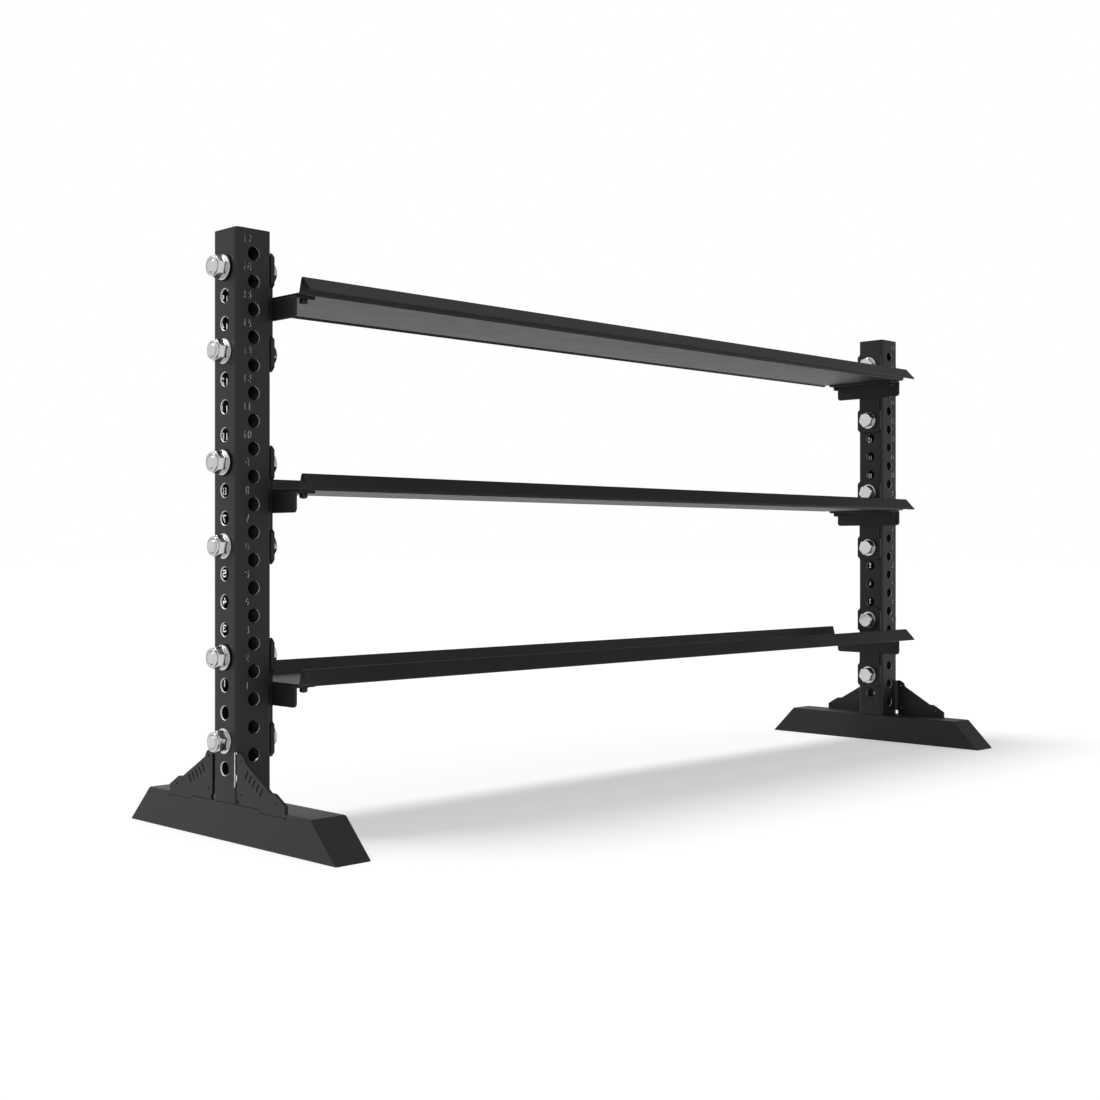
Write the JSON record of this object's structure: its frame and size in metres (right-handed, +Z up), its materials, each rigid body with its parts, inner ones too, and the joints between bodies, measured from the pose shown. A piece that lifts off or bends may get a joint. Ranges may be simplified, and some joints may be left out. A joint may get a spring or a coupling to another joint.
{
  "type": "dumbbell rack",
  "caption": "Free-standing dumbbell rack: folded steel trays bolted between perforated square uprights on splayed feet.",
  "frame": {"origin": "on the floor, midway between the two uprights and midway along the feet", "axes": "+X along the trays towards the right upright, -Y towards the front, +Z up"},
  "size_m": [2.21, 0.655, 1.1],
  "materials": {
    "powder_coat": "satin black powder coat with a fine texture",
    "zinc_plate": "bright zinc plate",
    "black_oxide": "black oxide, slightly oiled",
    "nylon": "natural nylon"
  },
  "bodies": {
    "root": {"left_upright": "powder_coat", "right_upright": "powder_coat", "left_upright_cap": "powder_coat", "right_upright_cap": "powder_coat", "left_foot": "powder_coat", "right_foot": "powder_coat", "left_front_end_plate": "powder_coat", "left_rear_end_plate": "powder_coat", "right_front_end_plate": "powder_coat", "right_rear_end_plate": "powder_coat", "left_front_gusset": "powder_coat", "left_rear_gusset": "powder_coat", "right_front_gusset": "powder_coat", "right_rear_gusset": "powder_coat", "left_top_bracket_plate": "powder_coat", "left_middle_bracket_plate": "powder_coat", "left_bottom_bracket_plate": "powder_coat", "right_top_bracket_plate": "powder_coat", "right_middle_bracket_plate": "powder_coat", "right_bottom_bracket_plate": "powder_coat", "left_top_bracket_arm": "powder_coat", "left_middle_bracket_arm": "powder_coat", "left_bottom_bracket_arm": "powder_coat", "right_top_bracket_arm": "powder_coat", "right_middle_bracket_arm": "powder_coat", "right_bottom_bracket_arm": "powder_coat", "top_shelf": "powder_coat", "middle_shelf": "powder_coat", "bottom_shelf": "powder_coat", "left_bracket_bolts": "zinc_plate", "right_bracket_bolts": "zinc_plate", "left_head_washers": "zinc_plate", "right_head_washers": "zinc_plate", "left_nut_washers": "zinc_plate", "right_nut_washers": "zinc_plate", "left_spacer_rings": "black_oxide", "right_spacer_rings": "black_oxide", "left_lock_nuts": "zinc_plate", "right_lock_nuts": "zinc_plate", "left_nut_inserts": "nylon", "right_nut_inserts": "nylon", "top_shelf_bolts": "black_oxide", "middle_shelf_bolts": "black_oxide", "bottom_shelf_bolts": "black_oxide", "top_shelf_washers": "black_oxide", "middle_shelf_washers": "black_oxide", "bottom_shelf_washers": "black_oxide", "top_shelf_nuts": "black_oxide", "middle_shelf_nuts": "black_oxide", "bottom_shelf_nuts": "black_oxide"}
  },
  "joints": []
}
